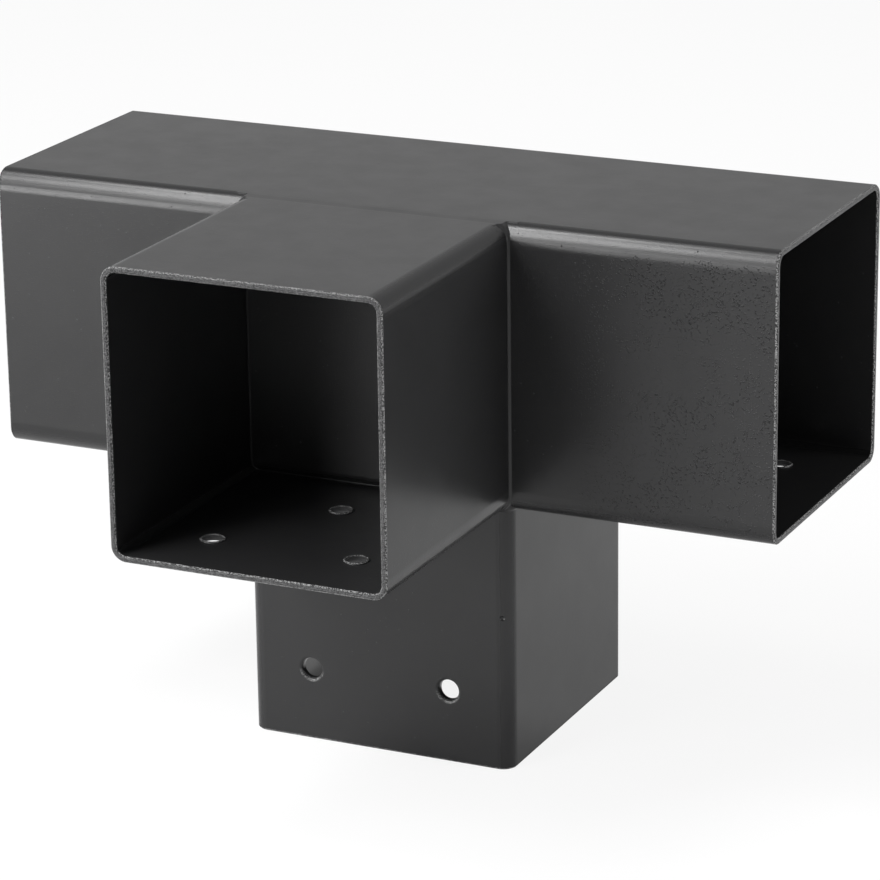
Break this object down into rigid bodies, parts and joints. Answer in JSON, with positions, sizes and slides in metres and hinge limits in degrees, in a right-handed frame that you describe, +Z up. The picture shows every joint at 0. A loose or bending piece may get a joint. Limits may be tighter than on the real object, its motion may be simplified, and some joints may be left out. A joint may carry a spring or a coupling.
{
  "type": "welded post and beam connector",
  "caption": "Black coated steel connector of square tube: an open run with a front branch and a leg socket, joins timber posts and beams.",
  "frame": {"origin": "centre of the leg's open lower end, on the surface that the part stands on", "axes": "+X along the run, -Y the way the branch points, +Z up"},
  "size_m": [0.275, 0.185, 0.185],
  "materials": {
    "black_coated_steel": "fine-textured satin powder coat",
    "black_coated_weld": "ground weld under the same powder coat"
  },
  "bodies": {
    "root": {"run_tube": "black_coated_steel", "branch_tube": "black_coated_steel", "leg_tube": "black_coated_steel", "branch_weld": "black_coated_weld", "leg_weld": "black_coated_weld"}
  },
  "joints": []
}
